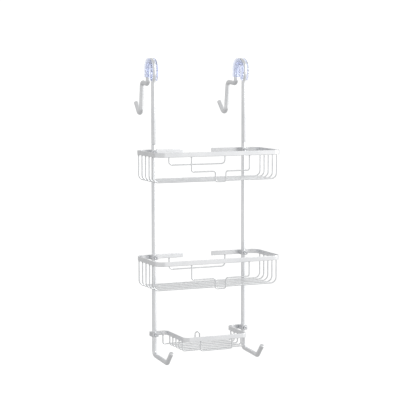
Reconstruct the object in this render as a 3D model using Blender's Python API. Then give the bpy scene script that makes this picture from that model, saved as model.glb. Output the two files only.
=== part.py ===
"""Over-door shower caddy: two jointed uprights, two wire baskets and a soap dish.

Units are metres. +X is to the right, -Y to the front, +Z up. The origin is at the
top edge of the door that the caddy hangs on, midway between the two hooks.
Heights are given as drops below the crown, the centre line of the hooks' highest point.
"""

from math import acos, cos, pi, radians, sin, sqrt, tan

import bmesh
import bpy
from mathutils import Vector

# ---- clearances and small finishing sizes ---------------------------------------
FIT_GAP = 0.0003            # air between pieces that touch
ROD_SIDES = 12
WIRE_SIDES = 8
SCREW_SIDES = 12
ARC_STEP = radians(15)      # turn between two points of a bend

# ---- uprights ---------------------------------------------------------------------
UPRIGHT_SPACING = 0.220     # between the two uprights, centre to centre
ROD_DIAMETER = 0.010
JOINT_DROP = 0.185          # seam between hook rod and lower rod
STUD_DIAMETER = 0.006
STUD_DEPTH = 0.012          # how far the stud reaches into each rod
# How far each hook's tail is turned towards the other hook.
HOOK_TOE_IN = {"left": radians(3.2), "right": radians(2.2)}

# ---- over-door hook, sizes from its front leg to the back -------------------------
HOOK_SPAN = 0.042           # between the two legs, centre to centre
JOG_OFFSET = 0.005          # the front leg's step to the front
JOG_TOP_DROP = 0.031
JOG_BOTTOM_DROP = 0.047
JOG_RADIUS = 0.030
DIP_DROP = 0.053            # bottom of the back leg, where the rod turns away
HUMP_DROP = 0.049
HUMP_OFFSET = 0.0425        # from the back leg to the top of the tail's shank
TAIL_OFFSET = 0.053         # from the back leg to the bottom of the shank, which leans away
BEND_RADIUS = 0.009
TAIL_DROP = 0.132           # where the shank and the J's slope would meet
TAIL_REACH = 0.0345         # from the shank to the J's tip
TIP_DROP = 0.0955
TAIL_RADIUS = 0.011

# ---- clear guards inside the hooks -------------------------------------------------
GUARD_WEB = 0.0025
GUARD_FLANGE = 0.0022
GUARD_FRONT_DROP = 0.044
GUARD_BACK_DROP = 0.038

# ---- foot of the lower rods ---------------------------------------------------------
FOOT_DROP = 0.6575          # where the upright and the foot would meet
FOOT_LENGTH = 0.076
FOOT_FALL = 0.005
FOOT_TIP_REACH = 0.0245
FOOT_TIP_RISE = 0.0265
FOOT_RADIUS = 0.010
FOOT_TIP_RADIUS = 0.007

# ---- shelves ------------------------------------------------------------------------
BAND_HEIGHT = 0.010
BAND_THICKNESS = 0.003
BAND_EDGE = 0.0006          # chamfer along the flat bar's edges
WIRE_DIAMETER = 0.003

UPPER_RIM_DROP = 0.197
LOWER_RIM_DROP = 0.432
DISH_RIM_DROP = 0.606

BASKET_OVERHANG = 0.040     # rim's end beyond the upright's centre
BASKET_REACH = 0.119        # rim's front ahead of the uprights' centre
BASKET_CORNER = 0.020
BASKET_DEPTH = 0.065        # rim's top down to the floor wires' centre
BASKET_WIRE_CORNER = 0.013
REAR_GAP = 0.070            # opening in the rim's back
LONG_WIRES = 5
FIRST_WIRE_GAP = 0.001      # air between upright and rearmost wire
LAST_WIRE_INSET = 0.0275    # front of the rim to the foremost wire's centre

FRONT_WIRE_WIDTH = 0.138
FRONT_WIRE_STEP = 0.042     # rim's top down to the step
FRONT_WIRE_FOOT = 0.025     # width of the lowest stretch
FRONT_WIRE_RADIUS = 0.005
REAR_WIRE_WIDTH = 0.138
REAR_WIRE_DEPTH = 0.036
REAR_WIRE_RADIUS = 0.009

# ---- soap dish ------------------------------------------------------------------------
DISH_INSET = 0.033          # upright's centre to the dish's side
DISH_REACH = 0.096
DISH_CORNER = 0.012
DISH_DEPTH = 0.031
DISH_WIRE_CORNER = 0.006
DISH_LAST_WIRE_INSET = 0.0165
DISH_FRONT_WIRE_WIDTH = 0.076
DISH_REAR_OUTSET = 0.009    # dish's side to the rear wire's upright stretch
LOOP_WIDTH = 0.014
LOOP_TOP_INSET = 0.008      # rim's top down to the loop's top

# ---- clamps -----------------------------------------------------------------------------
CLAMP_SIDE_WALL = 0.002
CLAMP_FRONT_WALL = 0.004
CLAMP_BACK_WALL = 0.0043
CLAMP_HEIGHT = 0.010
CLAMP_EDGE = 0.0006
SCREW_DIAMETER = 0.004
SCREW_HEAD_DIAMETER = 0.008
SCREW_HEAD_HEIGHT = 0.0026
SCREW_HEAD_EDGE = 0.0007
SOCKET_WIDTH = 0.003        # hexagon socket across its corners
SOCKET_DEPTH = 0.0016

# ---- worked out from the sizes above ------------------------------------------------------
ROD_RADIUS = ROD_DIAMETER / 2
WIRE_RADIUS = WIRE_DIAMETER / 2
CROWN_Z = GUARD_WEB + FIT_GAP + ROD_RADIUS
UPRIGHT_X = UPRIGHT_SPACING / 2
UPRIGHT_Y = JOG_OFFSET - HOOK_SPAN / 2
CLAMP_BACK_Y = UPRIGHT_Y + ROD_RADIUS + FIT_GAP + CLAMP_BACK_WALL
CLAMP_FRONT_Y = UPRIGHT_Y - ROD_RADIUS - FIT_GAP - CLAMP_FRONT_WALL
RIM_BACK_Y = CLAMP_BACK_Y + FIT_GAP + BAND_THICKNESS
CLAMP_WIDTH = ROD_DIAMETER + 2 * (FIT_GAP + CLAMP_SIDE_WALL)
SIDES = {"left": -1, "right": 1}


def height(drop):
    """Height of a point that lies this far below the hooks' crown."""
    return CROWN_Z - drop


# ---- scene, materials and objects -----------------------------------------------------------
def clear_scene():
    for item in list(bpy.data.objects):
        bpy.data.objects.remove(item, do_unlink=True)


def make_material(name, colour, roughness, metallic, alpha=1.0):
    material = bpy.data.materials.new(name)
    material.use_nodes = True
    shader = material.node_tree.nodes["Principled BSDF"]
    shader.inputs["Base Color"].default_value = (*colour, 1.0)
    shader.inputs["Roughness"].default_value = roughness
    shader.inputs["Metallic"].default_value = metallic
    shader.inputs["Alpha"].default_value = alpha
    return material


def make_pivot(name, place, turn=0.0):
    """An empty that carries the pieces which move together."""
    pivot = bpy.data.objects.new(name, None)
    bpy.context.collection.objects.link(pivot)
    pivot.location = place
    pivot.rotation_euler = (0, 0, turn)
    return pivot


def add_object(name, mesh_builder, material, pivot):
    """Turn a bmesh, built in the pivot's own coordinates, into a smooth-shaded object."""
    mesh = bpy.data.meshes.new(name)
    bmesh.ops.recalc_face_normals(mesh_builder, faces=mesh_builder.faces)
    mesh_builder.to_mesh(mesh)
    mesh_builder.free()
    mesh.shade_smooth()
    mesh.set_sharp_from_angle(angle=radians(35))
    mesh.materials.append(material)
    piece = bpy.data.objects.new(name, mesh)
    bpy.context.collection.objects.link(piece)
    piece.parent = pivot
    return piece


def cut(piece, name, mesh_builder, pivot):
    """Take a cutter's shape out of a piece with a live Boolean."""
    mesh = bpy.data.meshes.new(name)
    bmesh.ops.recalc_face_normals(mesh_builder, faces=mesh_builder.faces)
    mesh_builder.to_mesh(mesh)
    mesh_builder.free()
    cutter = bpy.data.objects.new(name, mesh)
    bpy.context.collection.objects.link(cutter)
    cutter.parent = pivot
    cutter.hide_render = True
    cutter.display_type = "WIRE"
    boolean = piece.modifiers.new(name, "BOOLEAN")
    boolean.operation = "DIFFERENCE"
    boolean.solver = "EXACT"
    boolean.object = cutter


# ---- paths and lofts ------------------------------------------------------------------------
def rounded_path(corners, radii):
    """The line through the corners, with each inner corner rounded to its radius."""
    corners = [Vector(corner) for corner in corners]
    path = [corners[0]]
    for before, corner, after, radius in zip(corners, corners[1:], corners[2:], radii):
        back = (before - corner).normalized()
        ahead = (after - corner).normalized()
        half_angle = acos(max(-1.0, min(1.0, back.dot(ahead)))) / 2
        centre = corner + (back + ahead).normalized() * radius / sin(half_angle)
        start = corner + back * radius / tan(half_angle) - centre
        end = corner + ahead * radius / tan(half_angle) - centre
        turn = pi - 2 * half_angle
        steps = max(2, round(turn / ARC_STEP))
        for step in range(steps + 1):
            part = step / steps
            weights = sin((1 - part) * turn) / sin(turn), sin(part * turn) / sin(turn)
            path.append(centre + start * weights[0] + end * weights[1])
    path.append(corners[-1])
    return drop_doubles(path)


def drop_doubles(path):
    kept = [path[0]]
    for point in path[1:]:
        if (point - kept[-1]).length > 1e-6:
            kept.append(point)
    return kept


def path_frames(path, plane_normal):
    """Each point with its direction, its sideways vector and how far a bend stretches it."""
    frames = []
    for index, point in enumerate(path):
        before = (point - path[index - 1]).normalized() if index else None
        after = (path[index + 1] - point).normalized() if index + 1 < len(path) else None
        before = before or after
        after = after or before
        direction = (before + after).normalized()
        stretch = 1 / sqrt((1 + before.dot(after)) / 2)
        frames.append((point, direction, direction.cross(plane_normal), stretch))
    return frames


def loft(rings):
    """A closed body through rings of equal size, with a flat cap at each end."""
    mesh_builder = bmesh.new()
    verts = [[mesh_builder.verts.new(place) for place in ring] for ring in rings]
    count = len(verts[0])
    for lower, upper in zip(verts, verts[1:]):
        for index in range(count):
            following = (index + 1) % count
            quad = lower[index], lower[following], upper[following], upper[index]
            mesh_builder.faces.new(quad)
    mesh_builder.faces.new(verts[0][::-1])
    mesh_builder.faces.new(verts[-1])
    return mesh_builder


def sweep_rings(path, plane_normal, section):
    """The section's (sideways, along the plane's normal) points at each point of a path."""
    normal = Vector(plane_normal)
    rings = []
    for point, _, sideways, stretch in path_frames(path, normal):
        wide = sideways * stretch
        rings.append([point + wide * side + normal * rise for side, rise in section])
    return rings


def round_section(radius, sides):
    angles = [(index + 0.5) * 2 * pi / sides for index in range(sides)]
    flat_radius = radius / cos(pi / sides)
    return [(flat_radius * cos(angle), flat_radius * sin(angle)) for angle in angles]


def band_section():
    """Flat bar on edge: thin sideways, tall along Z, with chamfered edges."""
    thin = BAND_THICKNESS / 2
    tall = BAND_HEIGHT / 2
    edge = BAND_EDGE
    quarter = [(thin, tall - edge), (thin - edge, tall)]
    upper_left = [(-side, rise) for side, rise in reversed(quarter)]
    lower = [(-side, -rise) for side, rise in quarter + upper_left]
    return quarter + upper_left + lower


def wire(path, plane_normal):
    return loft(sweep_rings(path, plane_normal, round_section(WIRE_RADIUS, WIRE_SIDES)))


def bored_rod(path, bore_radius, bore_depth):
    """A round rod in the YZ plane with a blind bore in the end that the path starts from."""
    normal = (1, 0, 0)
    outer = sweep_rings(path, normal, round_section(ROD_RADIUS, ROD_SIDES))
    inward = (path[1] - path[0]).normalized() * bore_depth
    bore = sweep_rings([path[0], path[0] + inward], normal, round_section(bore_radius, ROD_SIDES))
    return loft(bore[::-1] + outer)


def cylinder(radius, start, end, sides):
    """A round bar between two points of a plane that stands along Y and Z."""
    path = [Vector(start), Vector(end)]
    return loft(sweep_rings(path, (1, 0, 0), round_section(radius, sides)))


# ---- uprights ----------------------------------------------------------------------------------
def hook_path():
    """The hook rod's centre line in its own plane, from the seam to the tip of the J."""
    front_leg = -JOG_OFFSET
    back_leg = front_leg + HOOK_SPAN
    shank_top = back_leg + HUMP_OFFSET
    shank_bottom = back_leg + TAIL_OFFSET
    corners = [
        (0, 0, height(JOINT_DROP) + FIT_GAP / 2),
        (0, 0, height(JOG_BOTTOM_DROP)),
        (0, front_leg, height(JOG_TOP_DROP)),
        (0, front_leg, height(0)),
        (0, back_leg, height(0)),
        (0, back_leg, height(DIP_DROP)),
        (0, shank_top, height(HUMP_DROP)),
        (0, shank_bottom, height(TAIL_DROP)),
        (0, shank_bottom + TAIL_REACH, height(TIP_DROP)),
    ]
    crown_radius = HOOK_SPAN / 2
    radii = [JOG_RADIUS, JOG_RADIUS, crown_radius, crown_radius, BEND_RADIUS, BEND_RADIUS]
    return rounded_path(corners, radii + [TAIL_RADIUS])


def guard_path():
    """The stretch of the hook rod's centre line that the guard follows."""
    front_leg = -JOG_OFFSET
    back_leg = front_leg + HOOK_SPAN
    slope = JOG_OFFSET / (JOG_BOTTOM_DROP - JOG_TOP_DROP)
    corners = [
        (0, -slope * (JOG_BOTTOM_DROP - GUARD_FRONT_DROP), height(GUARD_FRONT_DROP)),
        (0, front_leg, height(JOG_TOP_DROP)),
        (0, front_leg, height(0)),
        (0, back_leg, height(0)),
        (0, back_leg, height(GUARD_BACK_DROP)),
    ]
    crown_radius = HOOK_SPAN / 2
    return rounded_path(corners, [JOG_RADIUS, crown_radius, crown_radius])


def guard_section():
    """A channel, open to the outside of the bend, that the rod lies in."""
    inner_half = ROD_RADIUS + FIT_GAP
    half = inner_half + GUARD_FLANGE
    floor = ROD_RADIUS + FIT_GAP
    base = floor + GUARD_WEB
    rim = -ROD_RADIUS
    return [
        (base, -half),
        (base, half),
        (rim, half),
        (rim, inner_half),
        (floor, inner_half),
        (floor, -inner_half),
        (rim, -inner_half),
        (rim, -half),
    ]


def foot_path():
    """The lower rod's centre line, from the seam down and forward to the foot's tip."""
    corners = [
        (0, 0, height(JOINT_DROP) - FIT_GAP / 2),
        (0, 0, height(FOOT_DROP)),
        (0, -FOOT_LENGTH, height(FOOT_DROP + FOOT_FALL)),
        (0, -FOOT_LENGTH - FOOT_TIP_REACH, height(FOOT_DROP + FOOT_FALL - FOOT_TIP_RISE)),
    ]
    return rounded_path(corners, [FOOT_RADIUS, FOOT_TIP_RADIUS])


def add_uprights(aluminium, steel, plastic):
    bore_radius = STUD_DIAMETER / 2 + FIT_GAP
    bore_depth = STUD_DEPTH + FIT_GAP
    for side, sign in SIDES.items():
        place = (sign * UPRIGHT_X, UPRIGHT_Y, 0)
        hook = make_pivot(f"{side}_hook_axis", place, sign * HOOK_TOE_IN[side])
        frame = make_pivot(f"{side}_upright_axis", place)
        rod = bored_rod(hook_path(), bore_radius, bore_depth)
        add_object(f"{side}_hook_rod", rod, aluminium, hook)
        guard = loft(sweep_rings(guard_path(), (1, 0, 0), guard_section()))
        add_object(f"{side}_door_guard", guard, plastic, hook)
        rod = bored_rod(foot_path(), bore_radius, bore_depth)
        add_object(f"{side}_lower_rod", rod, aluminium, frame)
        seam = height(JOINT_DROP)
        ends = (0, 0, seam - STUD_DEPTH), (0, 0, seam + STUD_DEPTH)
        stud = cylinder(STUD_DIAMETER / 2, *ends, ROD_SIDES)
        add_object(f"{side}_joint_stud", stud, steel, frame)


# ---- baskets -------------------------------------------------------------------------------------
# A shelf's pivot stands midway between the uprights' axes, at the rim's top.
def band(path):
    """Flat bar bent along a path that runs at half the bar's height."""
    return loft(sweep_rings(path, (0, 0, 1), band_section()))


def long_wire_places(reach, last_inset):
    """How far each long wire lies from the uprights' centre, back to front."""
    first = -(ROD_RADIUS + FIRST_WIRE_GAP + WIRE_RADIUS)
    last = last_inset - reach
    return [first + (last - first) * index / (LONG_WIRES - 1) for index in range(LONG_WIRES)]


def hung_wire(half_width, across, depth, radius):
    """A wire that drops from the rim's underside, runs along X and rises to it again."""
    top = -BAND_HEIGHT - FIT_GAP
    corners = [
        (-half_width, across, top),
        (-half_width, across, -depth),
        (half_width, across, -depth),
        (half_width, across, top),
    ]
    return wire(rounded_path(corners, [radius, radius]), (0, 1, 0))


def stepped_wire(across):
    """The front wire: down, in, down to the floor's level, across, and back up."""
    outer = FRONT_WIRE_WIDTH / 2
    inner = FRONT_WIRE_FOOT / 2
    half = [
        (outer, -BAND_HEIGHT - FIT_GAP),
        (outer, -FRONT_WIRE_STEP),
        (inner, -FRONT_WIRE_STEP),
        (inner, -BASKET_DEPTH),
    ]
    outline = [(-x, z) for x, z in half] + half[::-1]
    corners = [(x, across, z) for x, z in outline]
    return wire(rounded_path(corners, [FRONT_WIRE_RADIUS] * 6), (0, 1, 0))


def basket_rim():
    half = UPRIGHT_X + BASKET_OVERHANG - BAND_THICKNESS / 2
    back = RIM_BACK_Y - UPRIGHT_Y - BAND_THICKNESS / 2
    front = BAND_THICKNESS / 2 - BASKET_REACH
    middle = -BAND_HEIGHT / 2
    half_outline = [(REAR_GAP / 2, back), (half, back), (half, front)]
    outline = [(-x, y) for x, y in half_outline] + half_outline[::-1]
    corners = [(x, y, middle) for x, y in outline]
    bend = BASKET_CORNER - BAND_THICKNESS / 2
    return band(rounded_path(corners, [bend] * 4))


def add_basket(name, rim_drop, aluminium, steel):
    shelf = make_pivot(f"{name}_basket", (0, UPRIGHT_Y, height(rim_drop)))
    add_object(f"{name}_rim", basket_rim(), aluminium, shelf)
    half = UPRIGHT_X + BASKET_OVERHANG - BAND_THICKNESS / 2
    for number, across in enumerate(long_wire_places(BASKET_REACH, LAST_WIRE_INSET), 1):
        long_wire = hung_wire(half, across, BASKET_DEPTH, BASKET_WIRE_CORNER)
        add_object(f"{name}_long_wire_{number}", long_wire, aluminium, shelf)
    front = BAND_THICKNESS / 2 - BASKET_REACH
    add_object(f"{name}_front_wire", stepped_wire(front), aluminium, shelf)
    back = RIM_BACK_Y - UPRIGHT_Y - BAND_THICKNESS / 2
    rear_wire = hung_wire(REAR_WIRE_WIDTH / 2, back, REAR_WIRE_DEPTH, REAR_WIRE_RADIUS)
    add_object(f"{name}_rear_wire", rear_wire, aluminium, shelf)
    add_clamps(name, rim_drop, aluminium, steel)


# ---- soap dish -------------------------------------------------------------------------------------
def dish_rim():
    half = UPRIGHT_X - DISH_INSET - BAND_THICKNESS / 2
    back = RIM_BACK_Y - UPRIGHT_Y - BAND_THICKNESS / 2
    front = BAND_THICKNESS / 2 - DISH_REACH
    half_outline = [(UPRIGHT_X + CLAMP_WIDTH / 2, back), (half, back), (half, front)]
    outline = [(-x, y) for x, y in half_outline] + half_outline[::-1]
    corners = [(x, y, -BAND_HEIGHT / 2) for x, y in outline]
    return band(rounded_path(corners, [DISH_CORNER] * 4))


def dish_loop(across):
    """A small arch that stands on the rear wire."""
    half = (LOOP_WIDTH - WIRE_DIAMETER) / 2
    foot = WIRE_RADIUS + FIT_GAP - DISH_DEPTH
    top = -LOOP_TOP_INSET - WIRE_RADIUS
    corners = [(-half, across, foot), (-half, across, top), (half, across, top), (half, across, foot)]
    return wire(rounded_path(corners, [half, half]), (0, 1, 0))


def add_dish(aluminium, steel):
    shelf = make_pivot("soap_dish", (0, UPRIGHT_Y, height(DISH_RIM_DROP)))
    add_object("dish_rim", dish_rim(), aluminium, shelf)
    half = UPRIGHT_X - DISH_INSET - BAND_THICKNESS / 2
    for number, across in enumerate(long_wire_places(DISH_REACH, DISH_LAST_WIRE_INSET), 1):
        long_wire = hung_wire(half, across, DISH_DEPTH, DISH_WIRE_CORNER)
        add_object(f"dish_long_wire_{number}", long_wire, aluminium, shelf)
    front = BAND_THICKNESS / 2 - DISH_REACH
    front_wire = hung_wire(DISH_FRONT_WIRE_WIDTH / 2, front, DISH_DEPTH, FRONT_WIRE_RADIUS)
    add_object("dish_front_wire", front_wire, aluminium, shelf)
    back = RIM_BACK_Y - UPRIGHT_Y - BAND_THICKNESS / 2
    rear_wire = hung_wire(half + DISH_REAR_OUTSET, back, DISH_DEPTH, FRONT_WIRE_RADIUS)
    add_object("dish_rear_wire", rear_wire, aluminium, shelf)
    add_object("dish_loop", dish_loop(back), aluminium, shelf)
    add_clamps("dish", DISH_RIM_DROP, aluminium, steel)


# ---- clamps ------------------------------------------------------------------------------------------
# A clamp's pivot is on its screw's axis, where that crosses the upright's axis.
def clamp_block():
    mesh_builder = bmesh.new()
    bmesh.ops.create_cube(mesh_builder, size=1.0)
    back = CLAMP_BACK_Y - UPRIGHT_Y
    front = CLAMP_FRONT_Y - UPRIGHT_Y
    size = (CLAMP_WIDTH, back - front, CLAMP_HEIGHT)
    bmesh.ops.scale(mesh_builder, vec=size, verts=mesh_builder.verts)
    bmesh.ops.translate(mesh_builder, vec=(0, (back + front) / 2, 0), verts=mesh_builder.verts)
    bmesh.ops.bevel(mesh_builder, geom=mesh_builder.edges[:], offset=CLAMP_EDGE, affect="EDGES")
    return mesh_builder


def screw_body():
    """Socket-head screw along Y: the shank's tip is just clear of the rod."""
    tip = -ROD_RADIUS - FIT_GAP
    seat = CLAMP_FRONT_Y - UPRIGHT_Y - FIT_GAP
    face = seat - SCREW_HEAD_HEIGHT
    shank = SCREW_DIAMETER / 2
    head = SCREW_HEAD_DIAMETER / 2
    socket = SOCKET_WIDTH / 2
    outline = [
        (tip, shank),
        (seat, shank),
        (seat, head),
        (face + SCREW_HEAD_EDGE, head),
        (face, head - SCREW_HEAD_EDGE),
        (face, socket),
        (face + SOCKET_DEPTH, socket),
    ]
    rings = []
    for place, radius in outline:
        angles = [index * 2 * pi / SCREW_SIDES for index in range(SCREW_SIDES)]
        rings.append([(radius * cos(angle), place, radius * sin(angle)) for angle in angles])
    return loft(rings)


def add_clamps(name, rim_drop, aluminium, steel):
    bore = ROD_RADIUS + FIT_GAP
    screw_hole = SCREW_DIAMETER / 2 + FIT_GAP
    for side, sign in SIDES.items():
        place = (sign * UPRIGHT_X, UPRIGHT_Y, height(rim_drop + BAND_HEIGHT / 2))
        clamp = make_pivot(f"{name}_{side}_clamp", place)
        block = add_object(f"{name}_{side}_clamp_block", clamp_block(), aluminium, clamp)
        ends = (0, 0, -CLAMP_HEIGHT), (0, 0, CLAMP_HEIGHT)
        rod_cutter = cylinder(bore, *ends, ROD_SIDES)
        cut(block, f"{name}_{side}_rod_cutter", rod_cutter, clamp)
        ends = (0, 0, 0), (0, 2 * (CLAMP_FRONT_Y - UPRIGHT_Y), 0)
        screw_cutter = cylinder(screw_hole, *ends, SCREW_SIDES)
        cut(block, f"{name}_{side}_screw_cutter", screw_cutter, clamp)
        add_object(f"{name}_{side}_clamp_screw", screw_body(), steel, clamp)


def build():
    clear_scene()
    aluminium = make_material("satin_aluminium", (0.80, 0.81, 0.82), 0.35, 1.0)
    steel = make_material("stainless_steel", (0.62, 0.63, 0.65), 0.25, 1.0)
    plastic = make_material("clear_plastic", (0.55, 0.68, 0.95), 0.12, 0.0, 0.45)
    add_uprights(aluminium, steel, plastic)
    add_basket("upper", UPPER_RIM_DROP, aluminium, steel)
    add_basket("lower", LOWER_RIM_DROP, aluminium, steel)
    add_dish(aluminium, steel)


build()
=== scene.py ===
"""Finish of the over-door shower caddy: smooth rods, flat-bar rims, welded wires and guards.

Every piece is a numpy surface that takes its place from the fixed frame's own boxes.
Lengths are in metres; +X is to the right, -Y to the front and +Z up.
"""

from math import atan2, cos, radians, sin

import bpy
import numpy as np
from bpy.props import FloatProperty, FloatVectorProperty, IntProperty, PointerProperty
from bpy.types import Operator, Panel, PropertyGroup
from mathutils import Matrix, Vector


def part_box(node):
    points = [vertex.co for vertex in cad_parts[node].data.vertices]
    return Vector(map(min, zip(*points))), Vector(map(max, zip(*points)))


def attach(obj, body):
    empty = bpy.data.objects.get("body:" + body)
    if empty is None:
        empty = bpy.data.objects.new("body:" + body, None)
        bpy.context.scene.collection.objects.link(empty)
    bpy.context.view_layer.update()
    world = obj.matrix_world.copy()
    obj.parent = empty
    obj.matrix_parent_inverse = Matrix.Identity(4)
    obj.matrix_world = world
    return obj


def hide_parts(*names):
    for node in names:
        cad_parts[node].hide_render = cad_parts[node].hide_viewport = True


bl_info = {
    "name": "Shower Caddy Finish",
    "version": (1, 0, 0),
    "blender": (4, 5, 0),
    "location": "3D View > Sidebar > Caddy",
    "description": "Builds the rods, rims, wires, guards, clamps and stage of a shower caddy",
    "category": "Object",
}

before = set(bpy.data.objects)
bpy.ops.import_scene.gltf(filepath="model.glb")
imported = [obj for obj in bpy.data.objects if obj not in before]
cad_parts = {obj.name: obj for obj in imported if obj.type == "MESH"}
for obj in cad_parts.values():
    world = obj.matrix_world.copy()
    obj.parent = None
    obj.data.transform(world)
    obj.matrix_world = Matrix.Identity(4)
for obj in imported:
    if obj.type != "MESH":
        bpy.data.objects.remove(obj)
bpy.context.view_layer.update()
SIDES = {"left": -1, "right": 1}
SHELF_BODIES = {"upper": "upper_basket", "lower": "lower_basket", "dish": "soap_dish"}
ACROSS_X = np.array([1.0, 0.0, 0.0])
ACROSS_Y = np.array([0.0, 1.0, 0.0])
ACROSS_Z = np.array([0.0, 0.0, 1.0])
ROD_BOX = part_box("left_lower_rod")
BAR_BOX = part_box("upper_rim")
WIRE_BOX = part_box("upper_rear_wire")


def length(name, description, default, low=0.0):
    """A size in metres."""
    return FloatProperty(
        name=name, description=description, default=default, min=low, unit="LENGTH", precision=5
    )


def angle(name, description, degrees):
    """An angle, given in degrees."""
    return FloatProperty(
        name=name, description=description, default=radians(degrees), unit="ROTATION"
    )


def colour(name, description, default):
    return FloatVectorProperty(
        name=name, description=description, default=default, subtype="COLOR", min=0.0, max=1.0
    )


# ---- sizes and colours ------------------------------------
class RodSizes(PropertyGroup):
    diameter: length("Diameter", "Thickness of the round rods", ROD_BOX[1].x - ROD_BOX[0].x)
    end_round: length("End rounding", "Rounding of the cut ends", 0.0009)
    sides: IntProperty(name="Sides", description="Facets round a rod", default=32, min=8)
    bend_step: angle("Bend step", "Turn between two rings of a bend", 4.0)
    foot_length: length("Foot length", "From the upright to the foot's bend", 0.076)
    foot_drop: length("Foot drop", "Seam down to where the foot turns forward", 0.4722)
    foot_fall: length("Foot fall", "How far the foot slopes down to its bend", 0.005)
    tip_reach: length("Tip reach", "How far the foot's tip goes on to the front", 0.0245)
    tip_rise: length("Tip rise", "How far the foot's tip rises", 0.0265)
    foot_radius: length("Foot radius", "Bend between the upright and the foot", 0.010)
    tip_radius: length("Tip radius", "Bend between the foot and its tip", 0.007)


class HookSizes(PropertyGroup):
    span: length("Span", "Between the two legs over the door, centre to centre", 0.042)
    jog: length("Jog", "Step of the front leg to the front", 0.005)
    jog_top: length("Jog top", "Crown down to the upper end of the jog", 0.031)
    jog_bottom: length("Jog bottom", "Crown down to the lower end of the jog", 0.047)
    jog_radius: length("Jog radius", "Radius of the jog's two bends", 0.030)
    dip_drop: length("Dip drop", "Crown down to the bottom of the back leg", 0.053)
    hump_drop: length("Hump drop", "Crown down to where the shank starts", 0.049)
    hump_offset: length("Hump offset", "From the back leg to the top of the tail's shank", 0.0425)
    tail_offset: length("Tail offset", "From the back leg to the bottom of the shank", 0.053)
    tail_drop: length("Tail drop", "Crown down to the tail's lowest corner", 0.132)
    tail_reach: length("Tail reach", "From the shank's bottom to the tail's tip", 0.0345)
    tip_drop: length("Tip drop", "Crown down to the tail's tip", 0.0955)
    bend_radius: length("Bend radius", "Bends of the dip and the hump", 0.009)
    tail_radius: length("Tail radius", "Bend at the bottom of the tail", 0.011)
    toe_left: angle("Left toe-in", "Turn of the left hook towards the right one", 3.2)
    toe_right: angle("Right toe-in", "Turn of the right hook towards the left one", 2.2)


class GuardSizes(PropertyGroup):
    web: length("Web", "Thickness between the rod and the door", 0.0025)
    flange: length("Flange", "Thickness of the two side walls", 0.0022)
    gap: length("Gap", "Air between the rod and the guard", 0.0003)
    front_drop: length("Front drop", "Crown down to the guard's front end", 0.044)
    back_drop: length("Back drop", "Crown down to the guard's back end", 0.038)
    edge: length("Edge", "Rounding of the guard's edges", 0.0006)


class BarSizes(PropertyGroup):
    thickness: length("Thickness", "Thickness of the flat bar", 0.003)
    edge: length("Edge", "Rounding of the flat bar's edges", 0.0008)
    end_round: length("End rounding", "Rounding of the flat bar's ends", 0.0007)
    basket_corner: length("Basket corner", "Outer radius of a basket's corners", 0.020)
    rear_gap: length("Rear gap", "Opening in the basket rim's back", 0.070)
    dish_corner: length("Dish corner", "Radius of the dish's bends", 0.012)
    dish_width: length("Dish width", "Outer width of the dish", 0.154)


class WireSizes(PropertyGroup):
    diameter: length("Diameter", "Thickness of the wires", WIRE_BOX[1].y - WIRE_BOX[0].y)
    sides: IntProperty(name="Sides", description="Facets round a wire", default=16, min=6)
    bite: length("Bite", "How far a wire's end sinks into the bar it is welded to", 0.0006)
    bead: FloatProperty(
        name="Bead", description="Swelling of a wire at its weld, as a part of its size", default=0.5
    )
    bead_length: length("Bead length", "How far the weld's swelling runs down the wire", 0.0011)
    basket_radius: length("Basket radius", "Lower bends of a basket's long wires", 0.013)
    dish_radius: length("Dish radius", "Lower bends of the dish's long wires", 0.006)
    rear_radius: length("Rear radius", "Bends of a basket's rear wire", 0.009)
    small_radius: length("Small radius", "Bends of the front wires and the dish's wires", 0.005)
    step_drop: length("Step drop", "Rim's underside down to the front wire's step", 0.032)
    step_foot: length("Step foot", "Width of the front wire's lowest stretch", 0.025)


class ClampSizes(PropertyGroup):
    edge: length("Edge", "Rounding of the block's top and bottom edges", 0.0009)
    corner: length("Corner", "Rounding of the block's upright corners", 0.0016)
    bore_gap: length("Bore gap", "Air between the rod and the bore", 0.0002)
    bore_edge: length("Bore edge", "Bevel at both ends of the bore", 0.0005)
    head_edge: length("Head edge", "Rounding of the screw's head", 0.0007)
    socket: length("Socket", "Hexagon socket, flat to flat", 0.0028)
    socket_depth: length("Socket depth", "Depth of the hexagon socket", 0.0016)
    shank: length("Shank", "Diameter of the screw's shank", 0.004)


class FinishColours(PropertyGroup):
    aluminium: colour("Aluminium", "Bright tone of the satin aluminium", (0.86, 0.865, 0.875))
    aluminium_dull: colour("Dull aluminium", "Dull tone of the aluminium", (0.78, 0.79, 0.805))
    # The wire tones are set darker than the bars' as painted shade, standing in for the darker
    # surroundings that the wires reflect.
    wire: colour("Wire", "Bright tone of the aluminium wires", (0.79, 0.80, 0.81))
    wire_dull: colour("Dull wire", "Dull tone of the aluminium wires", (0.71, 0.72, 0.73))
    weld: colour("Weld", "Tone of the welds", (0.58, 0.585, 0.60))
    # The block tones are darker than the bars'. Part of that is the cast metal's own duller tone, and
    # part is painted shade for the shade among the uprights.
    block: colour("Block", "Bright tone of the cast clamp blocks", (0.76, 0.765, 0.78))
    block_dull: colour("Dull block", "Dull tone of the cast clamp blocks", (0.66, 0.665, 0.68))
    steel: colour("Steel", "Bright tone of the screws", (0.70, 0.71, 0.73))
    steel_dull: colour("Dull steel", "Dull tone of the screws", (0.56, 0.57, 0.59))
    guard: colour("Guard", "Surface tint of the clear guards", (0.88, 0.91, 1.0))
    guard_body: colour("Guard body", "What the guards' plastic lets through", (0.42, 0.52, 0.98))
    floor: colour("Floor", "The floor", (0.94, 0.94, 0.94))


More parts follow.
